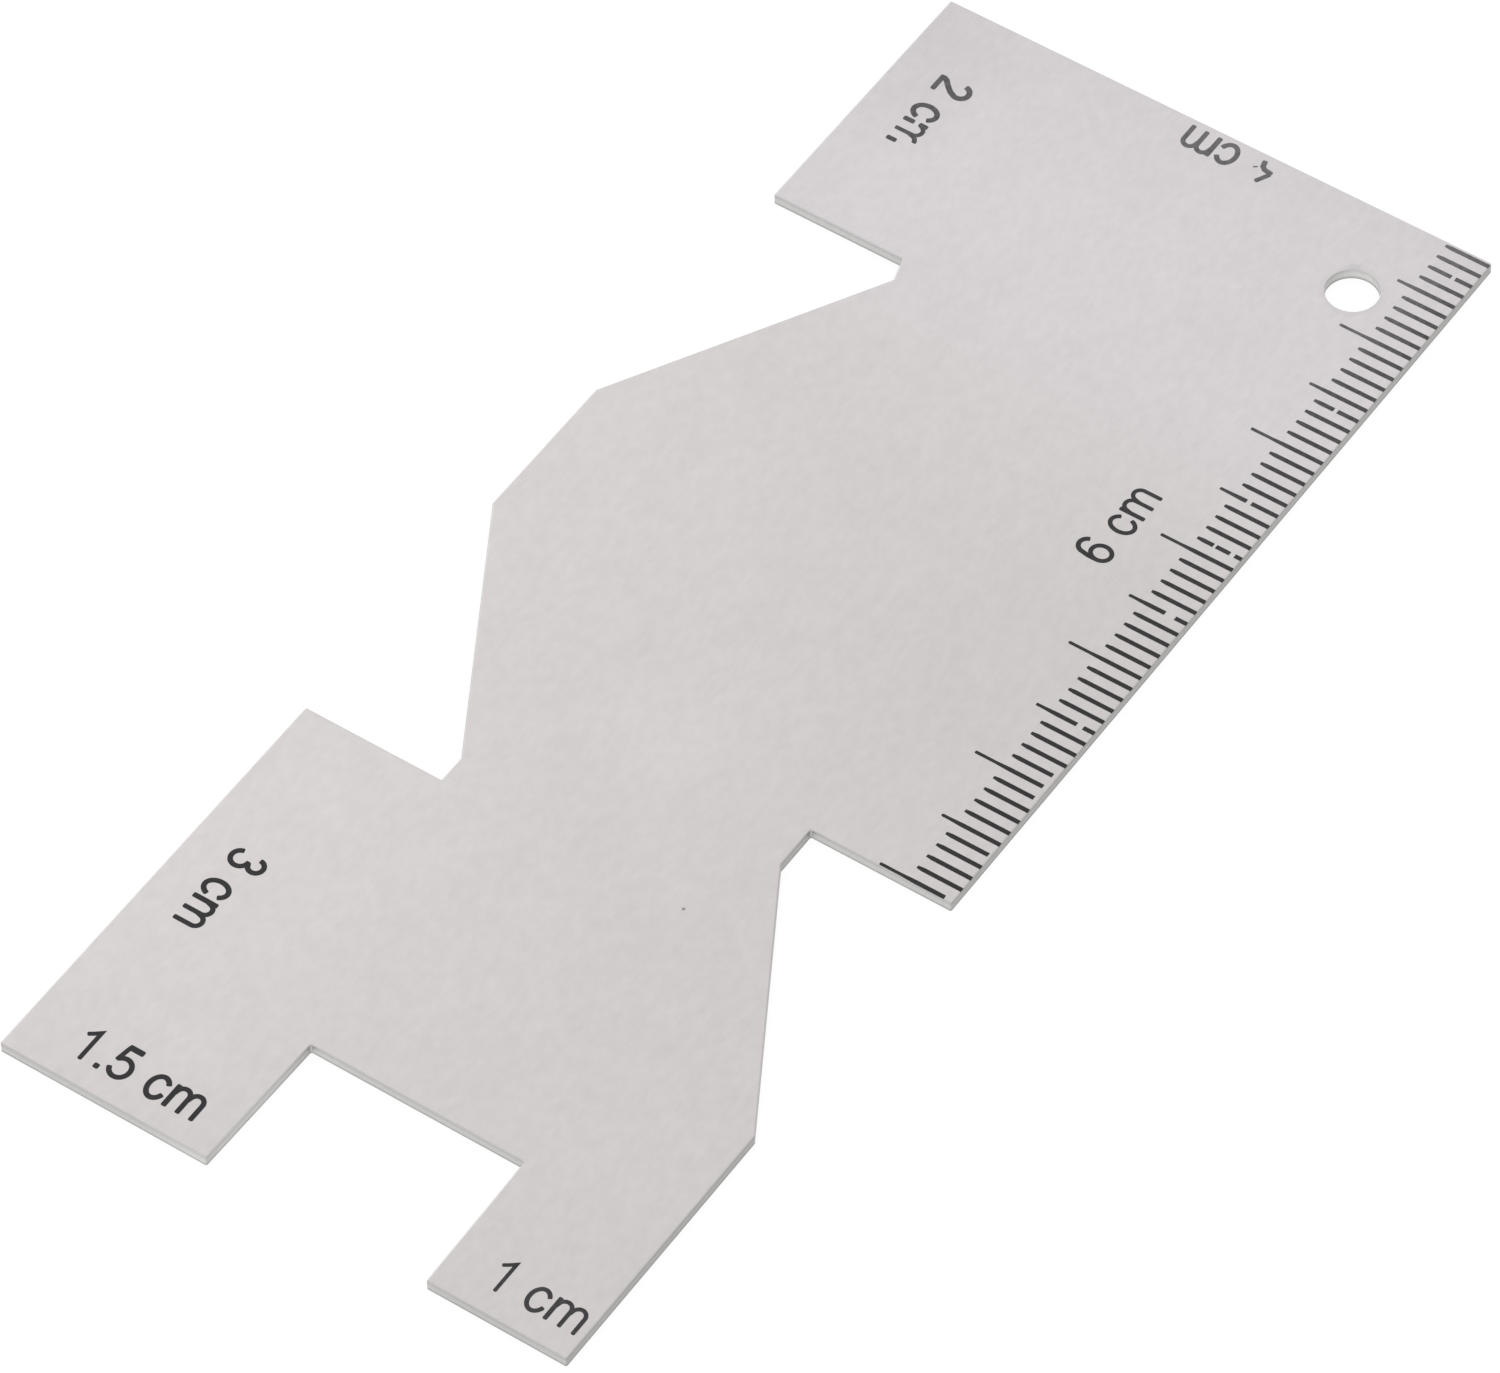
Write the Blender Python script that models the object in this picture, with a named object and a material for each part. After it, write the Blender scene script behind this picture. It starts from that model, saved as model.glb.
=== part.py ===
"""Sewing gauge: a flat plate blanked in one piece from aluminium sheet.

Its edges are the measures. The head, the scale edge, the foot's long edge and the ends of the two legs
are each cut to a length that a sewer marks off, and three notches with 60 degree sides part them.
A small hole near one corner of the head hangs it on a hook.

Axes: X runs across the plate, Y along it towards the head, Z up. The plate lies flat, and the origin is
the centre of its bounding box, on the underside. Seen from above, the scale edge is at +X.
"""

import math

import bmesh
import bpy
from mathutils import Matrix, Vector

# Driving dimensions, in metres unless the name says otherwise.
plate_width = 0.0400
plate_length = 0.0990
plate_thickness = 0.0008

scale_edge_length = 0.0600
head_edge_length = 0.0198
foot_edge_length = 0.0300

side_notch_depth = 0.0099
notch_slope_degrees = 60.0
scale_notch_step = 0.0031
foot_notch_step = 0.0020
head_notch_depth = 0.0101
head_notch_step = 0.0017
head_notch_step_lean = 0.0005

wide_leg_width = 0.0150
narrow_leg_width = 0.0099
leg_notch_depth = 0.0099
leg_notch_flare = 0.0002

hole_diameter = 0.00345
hole_from_scale_edge = 0.00595
hole_from_head = 0.00665
hole_rim_rollover = 0.00004

corner_radius = 0.00012
top_edge_rollover = 0.00008
bottom_edge_break = 0.00004

# How finely the round stretches are cut.
corner_steps = 4
rollover_steps = 3
hole_sides = 64

# How far the hole's punch reaches past both faces.
punch_overrun = 0.001

# The bare metal's colour, as linear red, green and blue.
aluminium_colour = (0.64, 0.62, 0.61)


def clear_scene():
    for old in list(bpy.data.objects):
        bpy.data.objects.remove(old, do_unlink=True)


def satin_aluminium():
    """Rolled aluminium sheet as it leaves the mill: pale grey and softly shiny."""
    material = bpy.data.materials.new("satin_aluminium")
    material.use_nodes = True
    surface = material.node_tree.nodes["Principled BSDF"]
    surface.inputs["Base Color"].default_value = (*aluminium_colour, 1.0)
    surface.inputs["Metallic"].default_value = 1.0
    surface.inputs["Roughness"].default_value = 0.42
    material.diffuse_color = (*aluminium_colour, 1.0)
    return material


def blank_corners():
    """The corners of the blank, anticlockwise seen from above, starting at the head's left corner.

    Lengths along the plate are measured back from the head, as the printed scale is.
    """
    left = -plate_width / 2
    right = plate_width / 2
    head = plate_length / 2
    foot = -plate_length / 2
    slope = math.tan(math.radians(notch_slope_degrees))

    # Left side, from the head down: the head's edge, its notch, the middle flat, the foot's notch.
    head_end = head - head_edge_length
    head_step_end = head_end - head_notch_step
    flat_start = head_step_end - head_notch_depth * slope
    foot_edge_start = foot + foot_edge_length
    foot_step_end = foot_edge_start + foot_notch_step
    flat_end = foot_step_end + side_notch_depth * slope

    # Foot: two legs with a square notch between them, a little wider at its mouth.
    leg_notch_root = foot + leg_notch_depth
    leg_notch_left = left + wide_leg_width
    leg_notch_right = right - narrow_leg_width

    # Right side, from the foot up: the narrow leg's edge, the scale's notch, the scale edge.
    scale_end = head - scale_edge_length
    scale_step_end = scale_end - scale_notch_step
    leg_edge_start = scale_step_end - side_notch_depth * slope

    return [
        (left, head),
        (left, head_end),
        (left + head_notch_depth - head_notch_step_lean, head_end),
        (left + head_notch_depth, head_step_end),
        (left, flat_start),
        (left, flat_end),
        (left + side_notch_depth, foot_step_end),
        (left + side_notch_depth, foot_edge_start),
        (left, foot_edge_start),
        (left, foot),
        (leg_notch_left - leg_notch_flare, foot),
        (leg_notch_left, leg_notch_root),
        (leg_notch_right, leg_notch_root),
        (leg_notch_right + leg_notch_flare, foot),
        (right, foot),
        (right, leg_edge_start),
        (right - side_notch_depth, scale_step_end),
        (right - side_notch_depth, scale_end),
        (right, scale_end),
        (right, head),
    ]


def corner_arc(before, corner, after, inset):
    """The rounded corner, on an outline moved inwards by inset. The arc's centre stays where it is."""
    arriving = (corner - before).normalized()
    leaving = (after - corner).normalized()
    turn = math.atan2(arriving.cross(leaving), arriving.dot(leaving))
    side = math.copysign(1.0, turn)
    # The centre lies inside the blank at an outward corner and outside it at an inward one.
    to_centre = Vector((-arriving.y, arriving.x)) * side
    along = arriving * corner_radius * math.tan(abs(turn) / 2)
    centre = corner - along + to_centre * corner_radius
    radius = corner_radius - side * inset
    start = -to_centre * radius
    return [
        centre + Matrix.Rotation(turn * step / corner_steps, 2) @ start
        for step in range(corner_steps + 1)
    ]


def outline_loop(inset, height):
    corners = [Vector(corner) for corner in blank_corners()]
    loop = []
    for index, corner in enumerate(corners):
        after = corners[(index + 1) % len(corners)]
        loop += corner_arc(corners[index - 1], corner, after, inset)
    return [(point.x, point.y, height) for point in loop]


def hole_loop(radius, height):
    centre_x = plate_width / 2 - hole_from_scale_edge
    centre_y = plate_length / 2 - hole_from_head
    turns = [2 * math.pi * side / hole_sides for side in range(hole_sides)]
    return [
        (centre_x + radius * math.cos(turn), centre_y + radius * math.sin(turn), height)
        for turn in turns
    ]


def rollover(radius):
    """Where a cut edge rolls over into the upper face, as (inset from the edge, height)."""
    steps = []
    for step in range(rollover_steps + 1):
        turn = math.pi / 2 * step / rollover_steps
        inset = radius * (1 - math.cos(turn))
        height = plate_thickness - radius * (1 - math.sin(turn))
        steps.append((inset, height))
    return steps


def solid_from_loops(name, loops):
    """A closed solid through stacked loops of equal length, each anticlockwise, from the lowest up."""
    shape = bmesh.new()
    rings = [[shape.verts.new(point) for point in loop] for loop in loops]
    for lower, upper in zip(rings, rings[1:]):
        for index, vertex in enumerate(lower):
            after = (index + 1) % len(lower)
            shape.faces.new((vertex, lower[after], upper[after], upper[index]))
    shape.faces.new(reversed(rings[0]))
    shape.faces.new(rings[-1])
    mesh = bpy.data.meshes.new(name)
    shape.to_mesh(mesh)
    shape.free()
    solid = bpy.data.objects.new(name, mesh)
    bpy.context.scene.collection.objects.link(solid)
    return solid


def blanked_plate():
    """The blank: broken lower edge, straight sheared wall, rolled upper edge."""
    levels = [(bottom_edge_break, 0.0), (0.0, bottom_edge_break)] + rollover(top_edge_rollover)
    loops = [outline_loop(inset, height) for inset, height in levels]
    return solid_from_loops("gauge_plate", loops)


def hole_punch():
    """What the punch takes out: the hanging hole, flaring where the upper face rolls into it."""
    radius = hole_diameter / 2
    levels = [(0.0, -punch_overrun)] + rollover(hole_rim_rollover)
    levels.append((hole_rim_rollover, plate_thickness + punch_overrun))
    loops = [hole_loop(radius + flare, height) for flare, height in levels]
    punch = solid_from_loops("hole_punch", loops)
    punch.hide_render = True
    punch.display_type = "WIRE"
    return punch


clear_scene()

plate = blanked_plate()
plate.data.materials.append(satin_aluminium())

hole = plate.modifiers.new("hanging_hole", "BOOLEAN")
hole.operation = "DIFFERENCE"
hole.object = hole_punch()
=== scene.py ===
"""Sewing gauge: the finish of the sheared aluminium plate and the scale and edge lengths printed on it."""
import math

import bmesh
import bpy
from mathutils import Matrix, Vector


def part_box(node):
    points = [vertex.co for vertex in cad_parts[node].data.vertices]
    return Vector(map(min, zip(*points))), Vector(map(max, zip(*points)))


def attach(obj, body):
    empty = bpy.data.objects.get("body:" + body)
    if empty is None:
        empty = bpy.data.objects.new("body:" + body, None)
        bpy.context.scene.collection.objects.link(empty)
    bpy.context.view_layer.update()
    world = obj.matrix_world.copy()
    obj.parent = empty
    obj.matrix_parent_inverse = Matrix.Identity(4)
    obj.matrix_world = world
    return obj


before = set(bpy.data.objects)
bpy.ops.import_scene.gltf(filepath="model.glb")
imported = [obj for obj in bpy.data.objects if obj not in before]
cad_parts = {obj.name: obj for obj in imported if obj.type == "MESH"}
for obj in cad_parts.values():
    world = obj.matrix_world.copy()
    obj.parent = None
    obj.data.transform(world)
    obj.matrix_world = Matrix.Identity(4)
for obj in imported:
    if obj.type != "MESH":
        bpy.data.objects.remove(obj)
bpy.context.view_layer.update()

# The plate is cold rolled aluminium sheet, left as it came from the mill, sheared to its outline and
# punched for the hanging hole. The rolls leave a fine broken grain along the plate, and the sheet lies
# in slight waves. The shear drags the upper edge down, burnishes the top of the cut and tears the rest.
mm = 0.001
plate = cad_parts["gauge_plate"]
plate_low, plate_high = (Vector(corner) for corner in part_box("gauge_plate"))
plate_width, _, plate_thickness = plate_high - plate_low
edge_rollover = 0.08 * mm

# The punch pulled the face down a little round the hole. The dish is not in the solid: its rim is drawn
# with painted shade, darker towards the hole.
hole_across = plate_width - 5.95 * mm
hole_down = 6.65 * mm
hole_radius = 1.725 * mm
dish_reach = 0.6 * mm
dish_painted_shade = -0.05

# Beyond a slight bend in the sheet, the head has a cooler cast than the rest. The bend is not in the solid:
# the cooler cast is a painted reflection of what the tilted head faces.
sheet_colour = "C5C1C0"
head_reflection_colour = "C5C1C2"
head_reflection_from = 31 * mm
head_reflection_to = 22 * mm

face_roughness_low = 0.34
face_roughness_high = 0.44
wall_extra_roughness = 0.12
grain_relief = 0.01 * mm
grain_relief_strength = 0.15
# How far a surface has to face up or down to stop being all wall, and to be all face.
wall_limit = 0.45
face_limit = 0.9
# Most of a noise pattern's values lie between the low one and the high one.
noise_low = 0.3
noise_middle = 0.5
noise_high = 0.7

# The grain's parts: how wide and how long one streak is, and how much paler or darker it can be. Their
# sizes were matched to the grain that the photo shows.
grain_parts = {
    "fine": (0.14 * mm, 1.1 * mm, 0.045),
    "coarse": (0.50 * mm, 0.85 * mm, 0.066),
    "mottle": (2.0 * mm, 3.0 * mm, 0.025),
    "cloud": (11 * mm, 14 * mm, 0.020),
}

# The sheared wall's colours: at its foot, at its top, and at shares of the height between them. They are
# partly painted light: the dark foot is painted shadow where the wall meets the floor, and the burnished
# band near the top is drawn darker as a painted reflection. The paler torn middle is the cut's own tone.
wall_foot_shadow_colour = "A6A6A4"
wall_top_colour = "C8C6C4"
wall_bands_and_shade = [(0.12, "B0B0AE"), (0.32, "D2D1CF"), (0.64, "D0CFCD"), (0.84, "C2C2C0")]
# Edges cut along the grain face across the plate and are darker than edges cut across it: partly a rougher
# cut, partly painted shade from the way they face the light. The tear leaves fine upright scores.
tone_cut_across_grain = 0.92
shaded_tone_along_grain = 0.64
tear_width = 0.08 * mm
tear_height = 0.5 * mm
tear_strength = 0.18

# Patches where the tone differs: how far across and down from the head their middle is, how far they reach
# across and along the plate, and how much paler they are. The waves are painted light and shade: broad
# bends in the sheet, drawn as the light they catch and not bent in the solid. The marks are painted shade:
# a dent that the punch left by the hole, and a small pit, drawn darker and not pressed into the solid. The
# sheared walls differ too: the leg notch's and the hole's walls are drawn paler, and the narrow leg's end
# darker.
painted_wave_light = [
    (38 * mm, 11 * mm, 53 * mm, 28 * mm, 0.088),
    (19 * mm, 59 * mm, 6.2 * mm, 6.2 * mm, 0.020),
    (6 * mm, 78.5 * mm, 19 * mm, 21 * mm, 0.019),
    (8 * mm, 100.5 * mm, 34 * mm, 8 * mm, -0.022),
    (33 * mm, 50 * mm, 15 * mm, 16 * mm, -0.010),
    (0 * mm, 5 * mm, 9 * mm, 11 * mm, -0.052),
]
# Painted shade of a dent by the hole and of a small pit; neither is pressed into the solid.
painted_dent_and_pit_shade = [
    (33.15 * mm, 5.0 * mm, 0.6 * mm, 0.6 * mm, -0.08),
    (27.26 * mm, 69.0 * mm, 0.16 * mm, 0.16 * mm, -0.60),
]
wall_patches = [
    (15 * mm, 95 * mm, 6 * mm, 8 * mm, 0.21),
    (hole_across, hole_down, 3.4 * mm, 3.4 * mm, 0.20),
    (35 * mm, 100 * mm, 7 * mm, 5 * mm, -0.07),
]


def on_plate(across, down, height=0.0):
    """A place on the upper face, measured across from the left edge and down from the head."""
    return Vector((plate_low.x + across, plate_high.y - down, plate_high.z + height))


def linear(hex_colour):
    """An sRGB colour, such as C5C1C0, as linear red, green, blue and alpha."""
    parts = [int(hex_colour[start:start + 2], 16) / 255 for start in (0, 2, 4)]
    return (*[p / 12.92 if p <= 0.04045 else ((p + 0.055) / 1.055) ** 2.4 for p in parts], 1.0)


def add(tree, kind, inputs=(), **settings):
    """Adds a node. An input takes a value, an output, or a node, which stands for its first output."""
    node = tree.nodes.new(kind)
    for name, value in settings.items():
        setattr(node, name, value)
    for socket, value in dict(inputs).items():
        if isinstance(value, bpy.types.Node):
            value = value.outputs[0]
        if isinstance(value, bpy.types.NodeSocket):
            tree.links.new(value, node.inputs[socket])
        else:
            node.inputs[socket].default_value = value
    return node


def new_material(name):
    material = bpy.data.materials.new(name)
    material.use_nodes = True
    material.node_tree.nodes.clear()
    return material


def add_patches(tree, tone, patches):
    """Adds each patch's change to a tone. A patch is level in its middle and fades out to its edge."""
    level_share = 0.2
    place = add(tree, "ShaderNodeTexCoord").outputs["Object"]
    for across, down, reach_across, reach_along, change in patches:
        middle = on_plate(across, down)
        reach = Vector((1 / reach_across, 1 / reach_along, 0))
        offset = add(tree, "ShaderNodeVectorMath", {0: place, 1: reach, 2: -middle * reach},
                     operation="MULTIPLY_ADD")
        away = add(tree, "ShaderNodeVectorMath", {0: offset}, operation="LENGTH")
        patch = add(tree, "ShaderNodeMapRange", {
            "Value": away.outputs["Value"], "From Min": level_share, "From Max": 1.0,
            "To Min": change, "To Max": 0.0}, interpolation_type="SMOOTHSTEP")
        tone = add(tree, "ShaderNodeMath", {0: tone, 1: patch}, operation="ADD")
    return tone


def mill_finish_aluminium():
    """Cold rolled aluminium: a pale, faintly warm satin with a broken grain, painted light and shade for
    the waves, the dent and the pit, and darker sheared edges that are partly painted shade.
    """
    material = new_material("mill_finish_aluminium")
    tree = material.node_tree
    coordinates = add(tree, "ShaderNodeTexCoord")
    place = coordinates.outputs["Object"]

    # The face's tone starts at 1, and the grain, the painted light and shade of the waves, and the painted
    # shade of the marks raise or lower it.
    face_tone = 1.0
    grain = {}
    for name, (width, length, strength) in grain_parts.items():
        scaled = add(tree, "ShaderNodeVectorMath", {0: place, 1: (1 / width, 1 / length, 1 / width)},
                     operation="MULTIPLY")
        grain[name] = add(tree, "ShaderNodeTexNoise", {"Vector": scaled, "Scale": 1.0, "Detail": 2.0})
        centred = add(tree, "ShaderNodeMath", {0: grain[name], 1: noise_middle}, operation="SUBTRACT")
        face_tone = add(tree, "ShaderNodeMath", {0: centred, 1: 2 * strength, 2: face_tone},
                        operation="MULTIPLY_ADD")
    face_tone = add_patches(tree, face_tone, painted_wave_light + painted_dent_and_pit_shade)

    hole_away = add(tree, "ShaderNodeVectorMath", {0: place, 1: on_plate(hole_across, hole_down)},
                    operation="DISTANCE")
    # Painted shade of the dished rim, darkest at the hole's edge.
    painted_dish_shade = add(tree, "ShaderNodeMapRange", {
        "Value": hole_away.outputs["Value"],
        "From Min": hole_radius, "From Max": hole_radius + dish_reach,
        "To Min": dish_painted_shade, "To Max": 0.0}, interpolation_type="SMOOTHSTEP")
    face_tone = add(tree, "ShaderNodeMath", {0: face_tone, 1: painted_dish_shade}, operation="ADD")
    # The head's cooler cast is a painted reflection, fading in from the rest of the sheet.
    in_head_reflection = add(tree, "ShaderNodeMapRange", {
        "Value": add(tree, "ShaderNodeSeparateXYZ", {0: place}).outputs["Y"],
        "From Min": plate_high.y - head_reflection_from, "From Max": plate_high.y - head_reflection_to})
    sheet = add(tree, "ShaderNodeMix", {
        "Factor": in_head_reflection, "A": linear(sheet_colour), "B": linear(head_reflection_colour)}, data_type="RGBA")
    face = add(tree, "ShaderNodeVectorMath", {0: sheet.outputs["Result"], "Scale": face_tone},
               operation="SCALE")

    # The sheared wall's tone follows the height, with painted shadow at its foot and a painted reflection
    # on the burnished band, and the way the edge runs against the grain, with painted shade on the walls
    # that face across the plate.
    height = add(tree, "ShaderNodeMapRange", {
        "Value": add(tree, "ShaderNodeSeparateXYZ", {0: place}).outputs["Z"],
        "From Min": 0.0, "From Max": plate_thickness})
    # Painted shadow at the wall's foot and a painted reflection on the burnished band, over the cut's own
    # bands.
    height_bands_and_shade = add(tree, "ShaderNodeValToRGB", {"Fac": height})
    height_bands_and_shade.color_ramp.elements[0].color = linear(wall_foot_shadow_colour)
    height_bands_and_shade.color_ramp.elements[1].color = linear(wall_top_colour)
    for position, colour in wall_bands_and_shade:
        height_bands_and_shade.color_ramp.elements.new(position).color = linear(colour)
    normal = add(tree, "ShaderNodeSeparateXYZ", {0: coordinates.outputs["Normal"]})
    shaded_side_along_grain = add(tree, "ShaderNodeMath", {0: normal.outputs["X"], 1: normal.outputs["X"]},
                      operation="MULTIPLY")
    tear_place = add(tree, "ShaderNodeVectorMath", {
        0: place, 1: (1 / tear_width, 1 / tear_width, 1 / tear_height)}, operation="MULTIPLY")
    tear = add(tree, "ShaderNodeTexNoise", {"Vector": tear_place, "Scale": 1.0, "Detail": 3.0})
    # Walls that face across the plate get painted shade, on top of their rougher cut.
    wall_tone = add(tree, "ShaderNodeMapRange", {
        "Value": shaded_side_along_grain, "From Min": 0.0, "From Max": 1.0,
        "To Min": tone_cut_across_grain, "To Max": shaded_tone_along_grain})
    wall_tone = add(tree, "ShaderNodeMath", {0: tear, 1: tear_strength, 2: wall_tone},
                    operation="MULTIPLY_ADD")
    wall_tone = add_patches(tree, wall_tone, wall_patches)
    wall = add(tree, "ShaderNodeVectorMath", {0: height_bands_and_shade, "Scale": wall_tone}, operation="SCALE")

    # What faces sideways is wall, and what faces up or down is face.
    uprightness = add(tree, "ShaderNodeMath", {0: normal.outputs["Z"]}, operation="ABSOLUTE")
    is_wall = add(tree, "ShaderNodeMapRange", {
        "Value": uprightness, "From Min": wall_limit, "From Max": face_limit,
        "To Min": 1.0, "To Max": 0.0})
    colour = add(tree, "ShaderNodeMix", {"Factor": is_wall, "A": face, "B": wall}, data_type="VECTOR")
    face_roughness = add(tree, "ShaderNodeMapRange", {
        "Value": grain["fine"], "From Min": noise_low, "From Max": noise_high,
        "To Min": face_roughness_low, "To Max": face_roughness_high})
    roughness = add(tree, "ShaderNodeMath", {0: is_wall, 1: wall_extra_roughness, 2: face_roughness},
                    operation="MULTIPLY_ADD")
    relief = add(tree, "ShaderNodeMath", {0: grain["fine"], 1: grain["coarse"]}, operation="ADD")
    bump = add(tree, "ShaderNodeBump", {
        "Strength": grain_relief_strength, "Distance": grain_relief, "Height": relief})
    surface = add(tree, "ShaderNodeBsdfPrincipled", {
        "Metallic": 1.0, "Base Color": colour.outputs["Result"], "Roughness": roughness, "Normal": bump})
    add(tree, "ShaderNodeOutputMaterial", {"Surface": surface})
    return material


plate.data.materials.clear()
plate.data.materials.append(mill_finish_aluminium())


# The millimetre scale is screen printed along the scale edge. Every fifth line is longer and every
# tenth longer still. The ink runs a little over the rolled edge. Use has chipped some lines, and has
# worn the print thin and grey towards the head.
ink_film = 0.012 * mm
ink_sink = 0.004 * mm
ink_roughness = 0.5
fresh_ink_colour = "1D1D1F"
worn_ink_colour = "656365"
ink_patch_size = 0.3 * mm
# The wear starts this far down from the head and grows towards it by this power. The more the ink is
# worn, the more uneven it is.
ink_worn_from = 60 * mm
wear_power = 3.6
fresh_unevenness = 0.25
added_unevenness = 1.1
# Where the ink is thinner than the rest, or thicker: at the narrow leg's end, at the lines' inner ends
# near the head, and at the scale's first corner.
ink_worn_patches = [
    (37 * mm, 98 * mm, 9 * mm, 7 * mm, 0.16),
    (35.8 * mm, 0 * mm, 3.0 * mm, 36 * mm, 0.33),
    (40 * mm, 3 * mm, 2.2 * mm, 12 * mm, -0.25),
]

scale_lines = 60
first_line = 0.34 * mm
line_pitch = 1.0083 * mm
line_width = 0.305 * mm
line_taper = 0.4 * mm
tail_width = 0.215 * mm
tail_taper = 0.5 * mm
line_start = 36.85 * mm
tail_starts = {5: 35.88 * mm, 10: 34.88 * mm}
line_end = plate_width
# The lines' ends follow the rolled edge down through these angles, in degrees.
rollover_turns = (30, 60)

# The stencil prints its corners round, so the free ends of lines and strokes narrow to this share.
end_share = 0.65
end_rounding = 0.07 * mm

# The stretches that are chipped off, in millimetres across, by the line's number from the head.
chips = {
    3: [(38.52, 38.80)],
    16: [(38.27, 38.53)],
    25: [(37.78, 38.12)],
    29: [(38.00, 38.18), (39.17, 39.50)],
    35: [(38.45, 39.15)],
    45: [(38.75, 39.20)],
    49: [(39.70, 40.00)],
    50: [(39.68, 40.00)],
    51: [(39.70, 40.00)],
    56: [(39.83, 40.00)],
    60: [(39.45, 40.00)],
}


def screen_ink():
    """Solvent screen ink on bare metal: dull near-black, dark grey and patchy where it has worn thin."""
    material = new_material("screen_ink")
    tree = material.node_tree
    place = add(tree, "ShaderNodeTexCoord").outputs["Object"]
    patches = add(tree, "ShaderNodeTexNoise", {
        "Vector": place, "Scale": 1 / ink_patch_size, "Detail": 2.0})
    wear = add(tree, "ShaderNodeMapRange", {
        "Value": add(tree, "ShaderNodeSeparateXYZ", {0: place}).outputs["Y"],
        "From Min": plate_high.y - ink_worn_from, "From Max": plate_high.y})
    wear = add(tree, "ShaderNodeMath", {0: wear, 1: wear_power}, operation="POWER")
    wear = add_patches(tree, wear, ink_worn_patches)
    patchy = add(tree, "ShaderNodeMath", {0: patches, 1: noise_middle}, operation="SUBTRACT")
    unevenness = add(tree, "ShaderNodeMath", {0: wear, 1: added_unevenness, 2: fresh_unevenness},
                     operation="MULTIPLY_ADD")
    wear = add(tree, "ShaderNodeMath", {0: patchy, 1: unevenness, 2: wear}, operation="MULTIPLY_ADD",
               use_clamp=True)
    colour = add(tree, "ShaderNodeMix", {
        "Factor": wear, "A": linear(fresh_ink_colour), "B": linear(worn_ink_colour)}, data_type="RGBA")
    surface = add(tree, "ShaderNodeBsdfPrincipled", {
        "Base Color": colour.outputs["Result"], "Roughness": ink_roughness, "IOR": 1.5,
        "Specular IOR Level": 0.3})
    add(tree, "ShaderNodeOutputMaterial", {"Surface": surface})
    return material


ink = screen_ink()


def add_film(shape, sections):
    """A closed film of ink through cross sections, each a left and a right point on the metal."""
    rings = []
    for left, right in sections:
        corners = [(left, -ink_sink), (right, -ink_sink), (right, ink_film), (left, ink_film)]
        rings.append([shape.verts.new(corner + Vector((0, 0, lift))) for corner, lift in corners])
    for ring, after in zip(rings, rings[1:]):
        for side in range(4):
            turn = (side + 1) % 4
            shape.faces.new((ring[side], ring[turn], after[turn], after[side]))
    shape.faces.new(rings[0])
    shape.faces.new(reversed(rings[-1]))


def printed(name, shape):
    """Turns a bmesh into an object in ink."""
    bmesh.ops.recalc_face_normals(shape, faces=shape.faces)
    mesh = bpy.data.meshes.new(name)
    shape.to_mesh(mesh)
    shape.free()
    mesh.materials.append(ink)
    piece = bpy.data.objects.new(name, mesh)
    bpy.context.scene.collection.objects.link(piece)
    return piece


def line_film(shape, down, start, stop, tail_start=None):
    """One stretch of a printed line. It follows the rolled edge down where it gets that far."""
    flat_stop = line_end - edge_rollover
    if tail_start:
        stations = [(tail_start, end_share * tail_width, 0.0), (tail_start + end_rounding, tail_width, 0.0),
                    (start - tail_taper, tail_width, 0.0), (start + tail_taper, line_width, 0.0)]
    elif start == line_start:
        stations = [(start, end_share * line_width, 0.0), (start + line_taper, line_width, 0.0)]
    else:
        stations = [(start, line_width, 0.0)]
    stations.append((min(stop, flat_stop), line_width, 0.0))
    if stop > flat_stop:
        for turn in map(math.radians, rollover_turns):
            stations.append((flat_stop + edge_rollover * math.sin(turn), line_width,
                             edge_rollover * (math.cos(turn) - 1)))
    add_film(shape, [
        (on_plate(across, down + width / 2, height), on_plate(across, down - width / 2, height))
        for across, width, height in stations])


scale = bmesh.new()
for number in range(1, scale_lines + 1):
    down = first_line + (number - 1) * line_pitch
    tail_start = None
    if number % 10 == 0:
        tail_start = tail_starts[10]
    elif number % 5 == 0:
        tail_start = tail_starts[5]
    start = line_start
    for chip_start, chip_stop in chips.get(number, []):
        line_film(scale, down, start, chip_start * mm, tail_start)
        start = chip_stop * mm
        tail_start = None
    if start < line_end:
        line_film(scale, down, start, line_end, tail_start)
scale_piece = printed("millimetre_scale", scale)
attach(scale_piece, "root")


# The lengths of six edges, in centimetres, are printed beside them in the same ink, in an upright sans
# serif set a little narrow. Each reads along its own edge. Two of them have lost parts of letters.
# The strokes are in millimetres, x from the left of the letter's own space and y up from the baseline.
small_height = 1.8
half_pen = 0.14
# The letter m: where its first stem stands, how far apart its stems are, how far an arch's curve
# reaches, the heights that it springs from and turns about, and how far it tops the small letters.
m_stem = 0.32
hump_spacing = 0.965
hump_reach = 0.46 * hump_spacing
hump_root = 1.0
hump_middle = 1.24
hump_overshoot = 0.05
# How far each letter moves the next one along. All figures move it alike.
advances = {"c": 1.544, "m": 2.55, " ": 0.859, ".": 0.859}
figure_advance = 1.717


def arc(x, y, half_width, half_height, start, stop, steps=16):
    """Points on an upright ellipse, from one angle to another, in degrees anticlockwise."""
    turns = [math.radians(start + (stop - start) * step / steps) for step in range(steps + 1)]
    return [(x + half_width * math.cos(turn), y + half_height * math.sin(turn)) for turn in turns]


def hump(stem):
    """One arch of the letter m, springing from its left stem and coming down as the next stem."""
    rise = small_height + hump_overshoot - half_pen - hump_middle
    arch = arc(stem + hump_spacing - hump_reach, hump_middle, hump_reach, rise, 172, 0)
    return [(stem, hump_root), *arch, (stem + hump_spacing, 0.0)]


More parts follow.
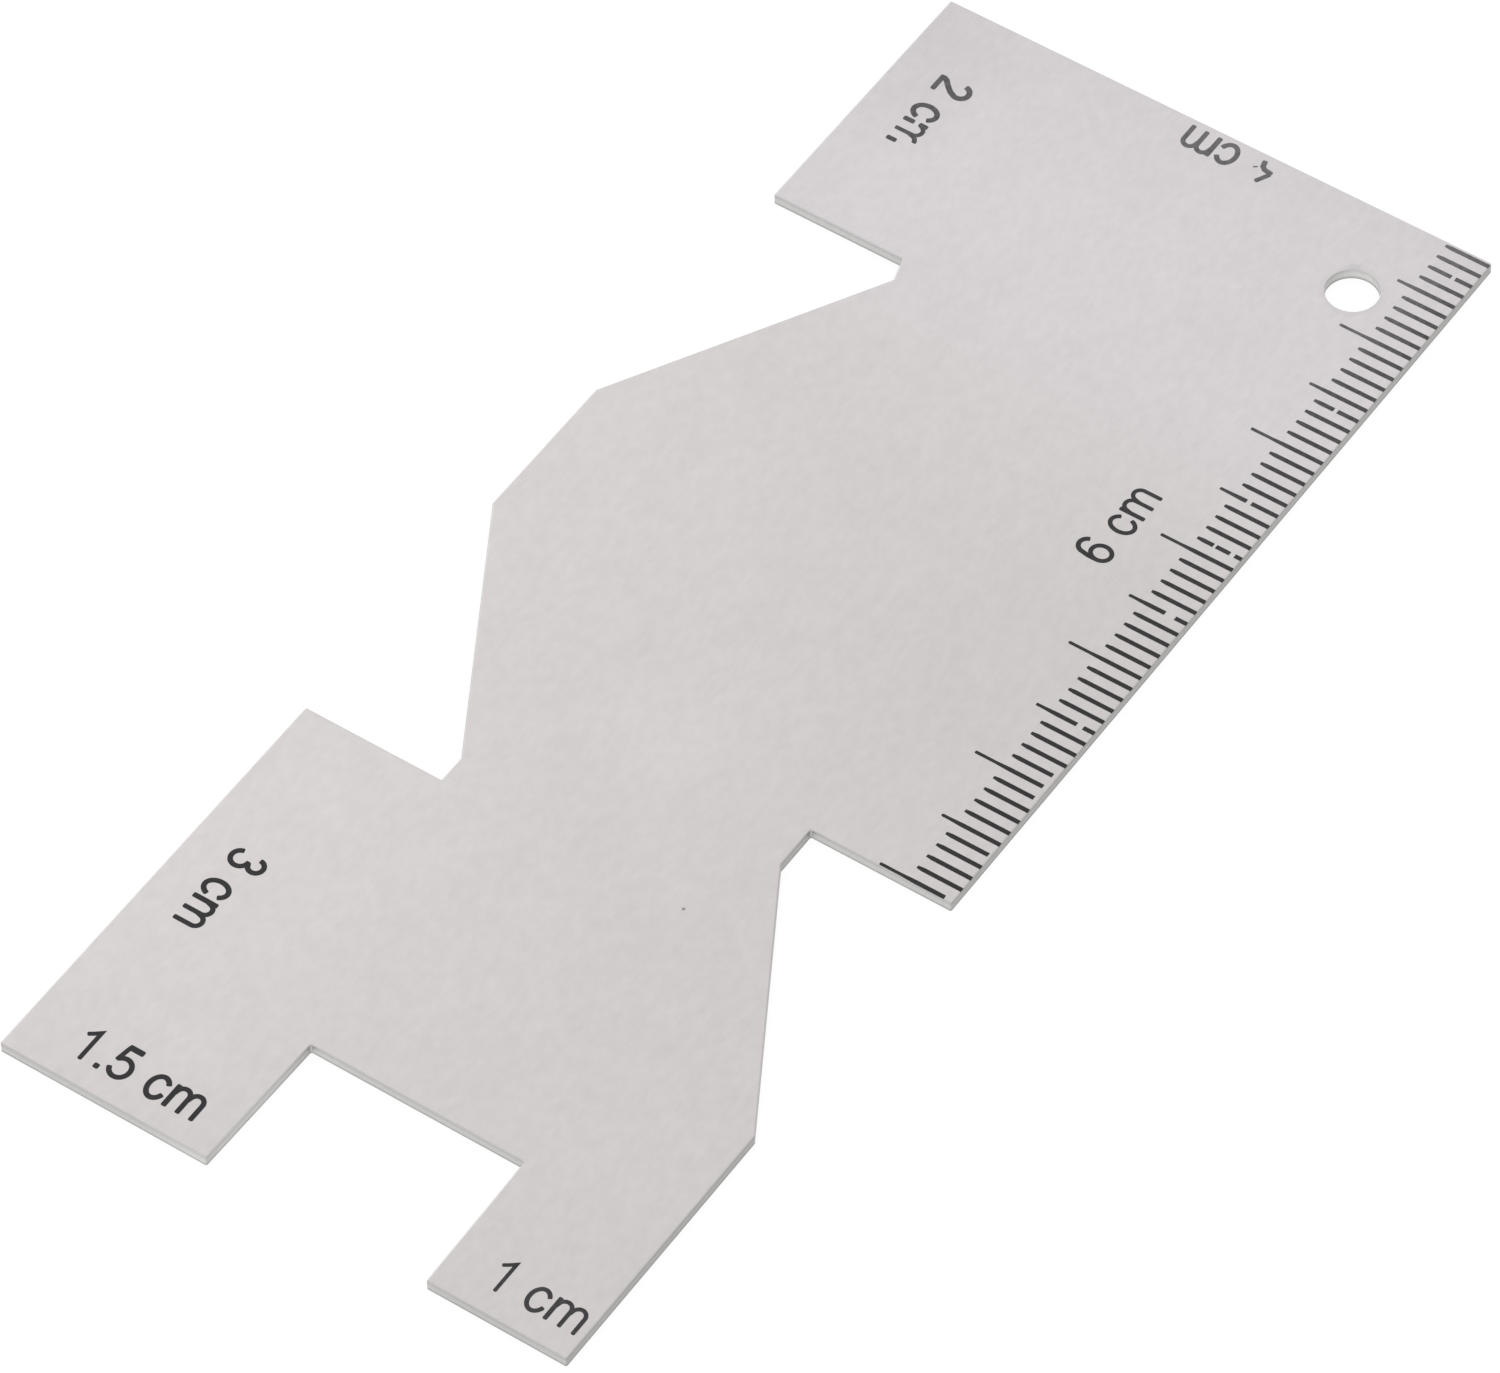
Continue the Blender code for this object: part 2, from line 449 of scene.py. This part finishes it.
# Each letter's strokes: how heavy the stroke is, as a share of the pen's width, and its points.
letters = {
    "1": [(0.86, [(0.99, 0), (0.99, 2.24), (0.64, 1.96), (0.31, 1.74)])],
    "2": [(1.08, arc(0.75, 1.79, 0.54, 0.58, 176, -14) + [
              (1.07, 1.23), (0.73, 0.84), (0.37, 0.50), (0.21, 0.14)]),
          (1.0, [(0.09, half_pen), (1.49, half_pen)])],
    "3": [(1.0, arc(0.79, 1.86, 0.49, 0.50, 184, -55) + [(0.78, 1.32)]),
          (1.0, [(0.71, 1.32)] + arc(0.79, 0.72, 0.58, 0.60, 78, -172, 20))],
    "5": [(1.2, [(0.34, 2.34), (1.41, 2.34)]),
          (0.9, [(0.46, 2.40), (0.26, 1.18)]),
          (1.0, [(0.27, 1.28)] + arc(0.80, 0.83, 0.65, 0.71, 122, -165, 20))],
    "6": [(1.1, arc(0.86, 1.74, 0.55, 0.59, 16, 160) + [(0.25, 1.35), (0.24, 0.80)]),
          (1.05, arc(0.82, 0.76, 0.58, 0.67, 0, 374, 33))],
    ".": [(1.12, [(0.40, -0.01), (0.40, 0.37)])],
    "c": [(1.02, arc(0.835, 0.91, 0.59, 0.81, 30, 340, 28))],
    "m": [(1.06, [(m_stem, 0), (m_stem, 1.78)]), (0.97, hump(m_stem)),
          (0.96, hump(m_stem + hump_spacing))],
    "worn 4": [(0.95, [(0.77, 1.88), (0.26, 0.90)]),
               (1.05, [(0.17, 0.84), (0.77, 0.75), (0.99, 0.56), (1.11, 0.08)]),
               (0.95, [(1.35, 0.88), (1.41, 0.80)])],
    "worn m": [(1.0, [(m_stem, 0), (m_stem, 0.80)]), (1.0, [(m_stem, 1.14), (m_stem, 1.78)]),
               (0.84, hump(m_stem)[1:]), (0.9, hump(m_stem + hump_spacing)[:10]),
               (0.95, [(m_stem + 2 * hump_spacing, 0), (m_stem + 2 * hump_spacing, 0.72)])],
}

# Each label: its name, its letters, where its baseline starts, which way it reads in degrees, and how
# wide the ink has spread.
labels = [
    ("length_1_5_cm", ["1", ".", "5", " ", "c", "m"], (3.50, 97.39), 0, 0.335),
    ("length_1_cm", ["1", " ", "c", "m"], (32.94, 97.45), 0, 0.28),
    ("length_3_cm", ["3", " ", "c", "m"], (2.79, 79.56), -90, 0.335),
    ("length_2_cm", ["2", " ", "c", "worn m"], (3.07, 5.46), -90, 0.35),
    ("length_6_cm", ["6", " ", "c", "m"], (33.48, 33.65), 90, 0.285),
    ("length_4_cm", ["worn 4", " ", "c", "m"], (24.95, 0.45), 180, 0.33),
]
# Corners nearer than this become one, and faces that turn by less than this become one.
weld_distance = 0.001 * mm
seam_angle = math.radians(0.5)


def ribbon(points, width):
    """The left and right edges of a pen stroke with mitred joints and rounded ends."""
    first, last = points[1] - points[0], points[-2] - points[-1]
    first, last = (run.normalized() * min(end_rounding / mm, run.length / 3) for run in (first, last))
    points = [points[0], points[0] + first, *points[1:-1], points[-1] + last, points[-1]]
    widths = [end_share * width] + [width] * (len(points) - 2) + [end_share * width]
    edges = []
    for index, (point, width_here) in enumerate(zip(points, widths)):
        arriving = (point - points[max(index - 1, 0)]).normalized()
        leaving = (points[min(index + 1, len(points) - 1)] - point).normalized()
        heading = (arriving + leaving).normalized()
        straightness = heading.dot(leaving if leaving.length else arriving)
        offset = Vector((-heading.y, heading.x)) * width_here / 2 / straightness
        edges.append((point + offset, point - offset))
    return edges


for name, characters, (across, down), reading_turn, pen_width in labels:
    start = on_plate(across * mm, down * mm)
    reading = Matrix.Rotation(math.radians(reading_turn), 3, "Z") * mm
    strokes = []
    along = 0.0
    for character in characters:
        for weight, stroke in letters.get(character, []):
            points = [Vector((along + x, y)) for x, y in stroke]
            shape = bmesh.new()
            add_film(shape, [[start + reading @ edge.to_3d() for edge in pair]
                             for pair in ribbon(points, weight * pen_width)])
            strokes.append(printed(name + "_stroke", shape))
        along += advances.get(character, figure_advance)

    # The strokes are joined into one clean outline.
    rest = bpy.data.collections.new(name)
    for stroke in strokes[1:]:
        rest.objects.link(stroke)
    union = strokes[0].modifiers.new("union", "BOOLEAN")
    union.operation = "UNION"
    union.operand_type = "COLLECTION"
    union.collection = rest
    union.solver = "EXACT"
    view = bpy.context.evaluated_depsgraph_get()
    mesh = bpy.data.meshes.new_from_object(strokes[0].evaluated_get(view))
    for stroke in strokes:
        bpy.data.objects.remove(stroke)
    bpy.data.collections.remove(rest)

    # The union leaves corners that all but coincide, and seams across flat faces. Both are taken out,
    # so that the label is made of few and clean triangles.
    outline = bmesh.new()
    outline.from_mesh(mesh)
    bmesh.ops.remove_doubles(outline, verts=outline.verts, dist=weld_distance)
    bmesh.ops.dissolve_limit(outline, angle_limit=seam_angle, verts=outline.verts, edges=outline.edges)
    bmesh.ops.triangulate(outline, faces=outline.faces)
    outline.to_mesh(mesh)
    outline.free()
    mesh.name = name
    label = bpy.data.objects.new(name, mesh)
    bpy.context.scene.collection.objects.link(label)
    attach(label, "root")


# The floor is a white sheet. The camera and the metal see plain white, and the plate still lays a soft
# shadow on it.
floor_mesh = bpy.data.meshes.new("floor")
floor_reach = 3.0
floor_gap = 0.02 * mm
floor_level = plate_low.z - floor_gap
floor_corners = [(-1, -1), (1, -1), (1, 1), (-1, 1)]
floor_mesh.from_pydata(
    [(x * floor_reach, y * floor_reach, floor_level) for x, y in floor_corners], [], [(0, 1, 2, 3)])
floor = bpy.data.objects.new("floor", floor_mesh)
bpy.context.scene.collection.objects.link(floor)
shadowed_part = 0.12
white_level = 1.02
paper = new_material("white_paper")
rays = add(paper.node_tree, "ShaderNodeLightPath")
seen = 0.0
for ray in ("Is Camera Ray", "Is Glossy Ray", "Is Transmission Ray"):
    seen = add(paper.node_tree, "ShaderNodeMath", {0: rays.outputs[ray], 1: seen}, operation="MAXIMUM")
glow = add(paper.node_tree, "ShaderNodeMath", {0: seen, 1: white_level - shadowed_part},
           operation="MULTIPLY")
lit = add(paper.node_tree, "ShaderNodeBsdfDiffuse", {"Color": (shadowed_part,) * 3 + (1.0,)})
bright = add(paper.node_tree, "ShaderNodeEmission", {"Strength": glow})
add(paper.node_tree, "ShaderNodeOutputMaterial", {
    "Surface": add(paper.node_tree, "ShaderNodeAddShader", {0: lit, 1: bright})})
floor_mesh.materials.append(paper)


# The light is a white tent all round, and a large soft box high on the left beyond the head.
world = bpy.data.worlds.new("white_tent")
bpy.context.scene.world = world
world.use_nodes = True
world.node_tree.nodes.clear()
tent = add(world.node_tree, "ShaderNodeBackground", {"Strength": 1.0})
tent.inputs["Color"].default_value = (1.0, 1.0, 1.0, 1.0)
add(world.node_tree, "ShaderNodeOutputWorld", {"Surface": tent})

soft_box = bpy.data.lights.new("soft_box", "AREA")
soft_box.shape = "SQUARE"
soft_box.size = 0.5
soft_box.energy = 0.7
soft_box_place = Vector((-0.62, 0.40, 0.52))
soft_box_object = bpy.data.objects.new("soft_box", soft_box)
soft_box_object.location = soft_box_place
soft_box_object.rotation_euler = (-soft_box_place).to_track_quat("-Z", "Y").to_euler()
bpy.context.scene.collection.objects.link(soft_box_object)


# The camera looks down on the plate across its foot and its scale edge, with a long lens.
camera_height_angle = math.radians(50.81)
camera_turn = math.radians(35.52)
camera_roll = math.radians(-1.39)
camera_distance = 569.0 * mm
aim_across = 21.02 * mm
aim_down = 53.05 * mm
camera_data = bpy.data.cameras.new("camera")
camera_data.lens = 229.9
camera_data.sensor_width = 36.0
camera_data.sensor_fit = "HORIZONTAL"
camera_data.clip_start = 0.05
camera = bpy.data.objects.new("camera", camera_data)
aim = Matrix.Translation(on_plate(aim_across, aim_down))
turned = Matrix.Rotation(camera_turn, 4, "Z") @ Matrix.Rotation(math.pi / 2 - camera_height_angle, 4, "X")
back = Matrix.Translation((0, 0, camera_distance))
camera.matrix_world = aim @ turned @ back @ Matrix.Rotation(camera_roll, 4, "Z")
bpy.context.scene.collection.objects.link(camera)
bpy.context.scene.camera = camera
bpy.context.scene.view_settings.view_transform = "Standard"
